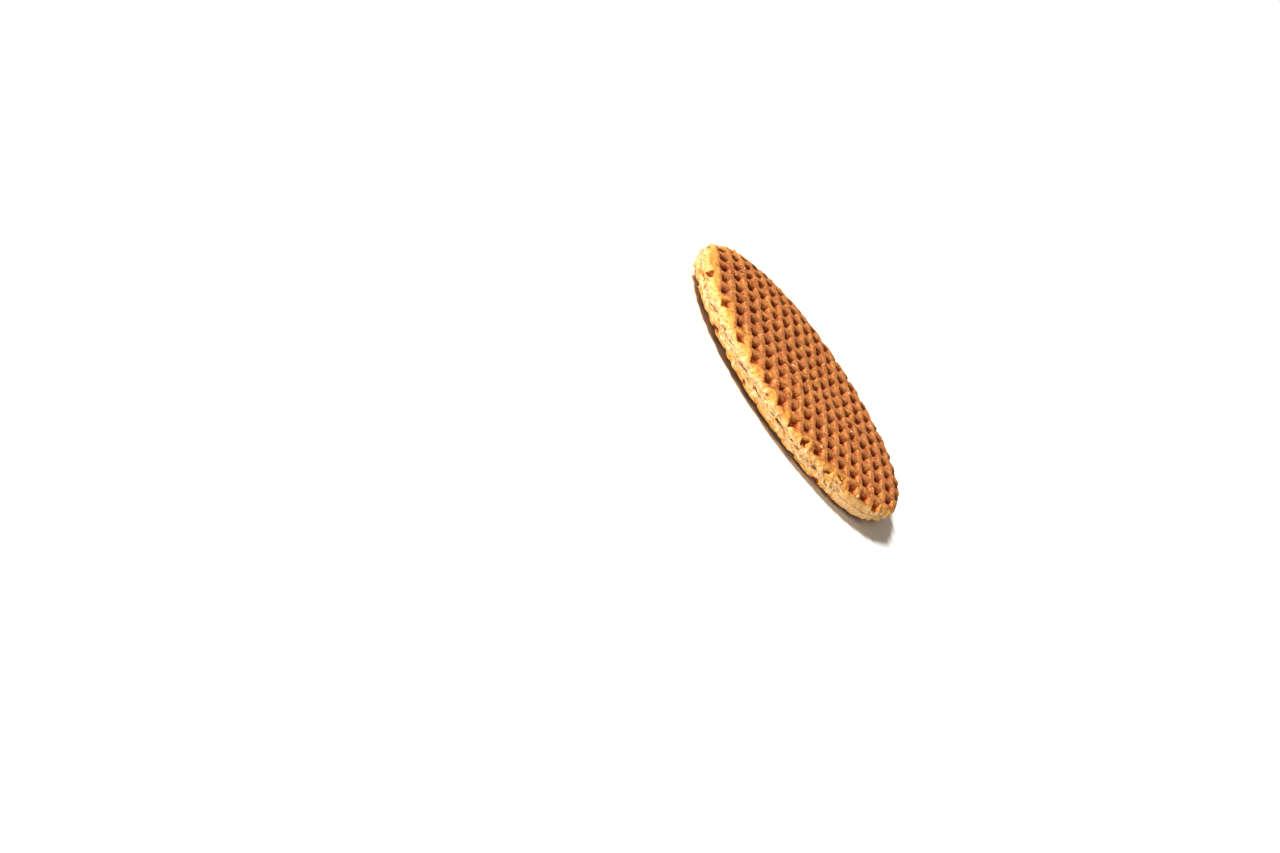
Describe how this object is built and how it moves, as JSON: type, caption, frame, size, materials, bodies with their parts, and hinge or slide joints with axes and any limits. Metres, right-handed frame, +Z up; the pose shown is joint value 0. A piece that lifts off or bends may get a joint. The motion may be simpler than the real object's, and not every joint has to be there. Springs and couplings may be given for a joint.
{
  "type": "stroopwafel",
  "caption": "Round syrup waffle biscuit: two thin waffle halves pressed with slanted diamond pits, joined by a layer of caramel syrup.",
  "frame": {"origin": "middle of the underside, on the surface that the biscuit lies on", "axes": "+Z up through the biscuit, out of the face that shows; +X and +Y in the plane of the biscuit, with the long diagonals of the diamonds nearly along Y"},
  "size_m": [0.0983, 0.0978, 0.0099],
  "materials": {
    "upper_crust": "baked waffle crust, orange-brown on the face and pale crumb at the cut edge",
    "lower_crust": "baked waffle crust, as the upper half",
    "syrup": "set caramel syrup, dark and slightly glossy"
  },
  "bodies": {
    "root": {"lower_waffle": "lower_crust", "syrup_layer": "syrup", "upper_waffle": "upper_crust"}
  },
  "joints": []
}
